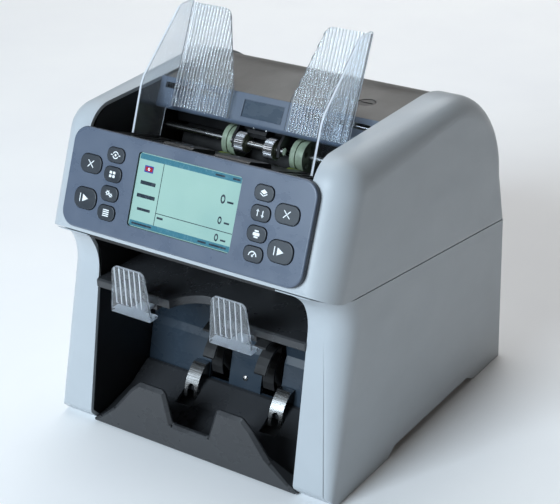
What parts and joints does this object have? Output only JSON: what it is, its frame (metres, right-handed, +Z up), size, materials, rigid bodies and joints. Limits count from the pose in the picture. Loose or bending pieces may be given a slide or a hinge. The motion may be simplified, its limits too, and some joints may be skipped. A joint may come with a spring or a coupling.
{
  "type": "banknote counting machine",
  "caption": "Desktop banknote counter with top hopper and sliding clear guides, sloping keypad and display, reject pocket and stacker pocket.",
  "frame": {"origin": "centre of the footprint on the surface it stands on", "axes": "+Z up, -Y towards the operator (control panel side), +X to the operator's right"},
  "size_m": [0.2712, 0.2763, 0.3285],
  "materials": {
    "housing_grey": "fine spark-eroded texture, satin",
    "cover_dark": "fine texture, satin",
    "panel_slate": "satin, semi-gloss moulding",
    "key_rubber": "smooth, coated, with pale icons",
    "lcd_glass": "lit display behind a clear window",
    "slate_plastic": "satin moulding",
    "black_plastic": "satin moulding",
    "pocket_grey": "satin moulding with soft highlights",
    "pocket_blue": "satin moulding",
    "clear_plastic": "clear, fluted",
    "bright_steel": "ground and polished",
    "knurled_steel": "fine knurl",
    "pressed_steel": "zinc plated sheet",
    "pale_green_rubber": "soft, translucent feed rubber",
    "lime_rubber": "soft retard rubber",
    "black_rubber": "dull",
    "foot_rubber": "dull",
    "board_green": "solder resist with parts"
  },
  "bodies": {
    "chassis": {"side_shell_left": "housing_grey", "side_shell_right": "housing_grey", "back_panel": "housing_grey", "upper_cover": "housing_grey", "base_pan": "pressed_steel", "rubber_feet": "foot_rubber", "hopper_liner": "black_plastic", "hopper_plate": "slate_plastic", "guide_rail": "bright_steel", "sensor_bracket": "black_plastic", "stacker_tray": "pocket_grey", "stacker_back_wall": "pocket_blue", "pocket_wall_left": "black_plastic", "pocket_wall_right": "black_plastic", "leaf_guides": "bright_steel", "reject_tray": "pocket_grey", "reject_ceiling": "black_plastic", "side_frame_left": "pressed_steel", "side_frame_right": "pressed_steel", "main_motor": "pressed_steel", "drive_belt": "black_rubber", "main_board": "board_green", "power_supply": "pressed_steel", "power_inlet": "black_plastic", "cover_screws": "bright_steel", "hinge_pins": "bright_steel", "control_panel": "panel_slate", "lcd_module": "lcd_glass", "key_board": "board_green"},
    "rear_cover_body": {"rear_cover": "cover_dark"},
    "gap_knob": {"feed_gap_knob": "black_plastic"},
    "guide_left": {"hopper_guide_left": "clear_plastic"},
    "guide_right": {"hopper_guide_right": "clear_plastic"},
    "kicker": {"kicker_shaft": "bright_steel", "kicker_rollers": "knurled_steel"},
    "feeder": {"feed_shaft": "bright_steel", "feed_wheels": "pale_green_rubber"},
    "separator": {"separator_rollers": "lime_rubber"},
    "transport": {"transport_roller": "black_rubber"},
    "stacker": {"stacker_shaft": "bright_steel", "stacker_wheel_left": "black_rubber", "stacker_wheel_right": "black_rubber"},
    "stop_left": {"reject_stop_left": "clear_plastic"},
    "stop_right": {"reject_stop_right": "clear_plastic"},
    "reject_drive": {"reject_roller": "bright_steel"},
    "gate": {"diverter_gate": "black_plastic"},
    "motor": {"motor_pulley": "black_plastic"},
    "rocker": {"power_switch": "black_plastic"},
    "key_left_1_body": {"key_left_1": "key_rubber"},
    "key_left_2_body": {"key_left_2": "key_rubber"},
    "key_left_3_body": {"key_left_3": "key_rubber"},
    "key_left_4_body": {"key_left_4": "key_rubber"},
    "key_clear_left_body": {"key_clear_left": "key_rubber"},
    "key_start_left_body": {"key_start_left": "key_rubber"},
    "key_right_1_body": {"key_right_1": "key_rubber"},
    "key_right_2_body": {"key_right_2": "key_rubber"},
    "key_right_3_body": {"key_right_3": "key_rubber"},
    "key_right_4_body": {"key_right_4": "key_rubber"},
    "key_clear_right_body": {"key_clear_right": "key_rubber"},
    "key_start_right_body": {"key_start_right": "key_rubber"}
  },
  "joints": [
    {"name": "feed_spin", "type": "hinge", "parent": "chassis", "child": "feeder", "pos_m": [0, -0.0088, 0.223], "axis": [1, 0, 0], "continuous": true},
    {"name": "kicker_spin", "type": "hinge", "parent": "chassis", "child": "kicker", "pos_m": [0, -0.0248, 0.231], "axis": [1, 0, 0], "continuous": true},
    {"name": "separator_spin", "type": "hinge", "parent": "chassis", "child": "separator", "pos_m": [0, -0.0268, 0.209], "axis": [1, 0, 0], "continuous": true},
    {"name": "transport_spin", "type": "hinge", "parent": "chassis", "child": "transport", "pos_m": [0, 0.0197, 0.2], "axis": [1, 0, 0], "continuous": true},
    {"name": "stacker_spin", "type": "hinge", "parent": "chassis", "child": "stacker", "pos_m": [0, -0.0343, 0.062], "axis": [1, 0, 0], "continuous": true},
    {"name": "reject_spin", "type": "hinge", "parent": "chassis", "child": "reject_drive", "pos_m": [0, -0.0383, 0.137], "axis": [1, 0, 0], "continuous": true},
    {"name": "motor_spin", "type": "hinge", "parent": "chassis", "child": "motor", "pos_m": [0, 0.0447, 0.06], "axis": [1, 0, 0], "continuous": true},
    {"name": "rear_cover_hinge", "type": "hinge", "parent": "chassis", "child": "rear_cover_body", "pos_m": [0, 0.1317, 0.152], "axis": [-1, 0, 0], "range_deg": [0, 75]},
    {"name": "gap_knob_turn", "type": "hinge", "parent": "rear_cover_body", "child": "gap_knob", "pos_m": [0.072, 0.0217, 0.262], "axis": [0, 0, 1], "range_deg": [-150, 150]},
    {"name": "gate_swing", "type": "hinge", "parent": "chassis", "child": "gate", "pos_m": [0, -0.0183, 0.122], "axis": [1, 0, 0], "range_deg": [-14, 14]},
    {"name": "switch_rock", "type": "hinge", "parent": "chassis", "child": "rocker", "pos_m": [0.10025, 0.1323, 0.044], "axis": [1, 0, 0], "range_deg": [-11, 0]},
    {"name": "guide_left_slide", "type": "slide", "parent": "chassis", "child": "guide_left", "axis": [1, 0, 0], "range_m": [-0.01, 0.022]},
    {"name": "guide_right_slide", "type": "slide", "parent": "chassis", "child": "guide_right", "axis": [1, 0, 0], "range_m": [-0.022, 0.01]},
    {"name": "stop_left_slide", "type": "slide", "parent": "chassis", "child": "stop_left", "axis": [0, 1, 0], "range_m": [0, 0.012]},
    {"name": "stop_right_slide", "type": "slide", "parent": "chassis", "child": "stop_right", "axis": [0, 1, 0], "range_m": [0, 0.012]},
    {"name": "key_left_1_press", "type": "slide", "parent": "chassis", "child": "key_left_1_body", "axis": [0, 0.9225, -0.3859], "range_m": [0, 0.0015], "stiffness_N_per_m": 600, "springref_m": -0.0004},
    {"name": "key_left_2_press", "type": "slide", "parent": "chassis", "child": "key_left_2_body", "axis": [0, 0.9225, -0.3859], "range_m": [0, 0.0015], "stiffness_N_per_m": 600, "springref_m": -0.0004},
    {"name": "key_left_3_press", "type": "slide", "parent": "chassis", "child": "key_left_3_body", "axis": [0, 0.9225, -0.3859], "range_m": [0, 0.0015], "stiffness_N_per_m": 600, "springref_m": -0.0004},
    {"name": "key_left_4_press", "type": "slide", "parent": "chassis", "child": "key_left_4_body", "axis": [0, 0.9225, -0.3859], "range_m": [0, 0.0015], "stiffness_N_per_m": 600, "springref_m": -0.0004},
    {"name": "key_clear_left_press", "type": "slide", "parent": "chassis", "child": "key_clear_left_body", "axis": [0, 0.9225, -0.3859], "range_m": [0, 0.0015], "stiffness_N_per_m": 600, "springref_m": -0.0004},
    {"name": "key_start_left_press", "type": "slide", "parent": "chassis", "child": "key_start_left_body", "axis": [0, 0.9225, -0.3859], "range_m": [0, 0.0015], "stiffness_N_per_m": 600, "springref_m": -0.0004},
    {"name": "key_right_1_press", "type": "slide", "parent": "chassis", "child": "key_right_1_body", "axis": [0, 0.9225, -0.3859], "range_m": [0, 0.0015], "stiffness_N_per_m": 600, "springref_m": -0.0004},
    {"name": "key_right_2_press", "type": "slide", "parent": "chassis", "child": "key_right_2_body", "axis": [0, 0.9225, -0.3859], "range_m": [0, 0.0015], "stiffness_N_per_m": 600, "springref_m": -0.0004},
    {"name": "key_right_3_press", "type": "slide", "parent": "chassis", "child": "key_right_3_body", "axis": [0, 0.9225, -0.3859], "range_m": [0, 0.0015], "stiffness_N_per_m": 600, "springref_m": -0.0004},
    {"name": "key_right_4_press", "type": "slide", "parent": "chassis", "child": "key_right_4_body", "axis": [0, 0.9225, -0.3859], "range_m": [0, 0.0015], "stiffness_N_per_m": 600, "springref_m": -0.0004},
    {"name": "key_clear_right_press", "type": "slide", "parent": "chassis", "child": "key_clear_right_body", "axis": [0, 0.9225, -0.3859], "range_m": [0, 0.0015], "stiffness_N_per_m": 600, "springref_m": -0.0004},
    {"name": "key_start_right_press", "type": "slide", "parent": "chassis", "child": "key_start_right_body", "axis": [0, 0.9225, -0.3859], "range_m": [0, 0.0015], "stiffness_N_per_m": 600, "springref_m": -0.0004}
  ],
  "couplings": [
    {"joint": "kicker_spin", "follows": "feed_spin", "ratio": 1},
    {"joint": "motor_spin", "follows": "feed_spin", "ratio": 1.2},
    {"joint": "stacker_spin", "follows": "feed_spin", "ratio": 0.85714},
    {"joint": "transport_spin", "follows": "feed_spin", "ratio": -0.8},
    {"joint": "reject_spin", "follows": "feed_spin", "ratio": -1},
    {"joint": "guide_right_slide", "follows": "guide_left_slide", "ratio": -1}
  ]
}
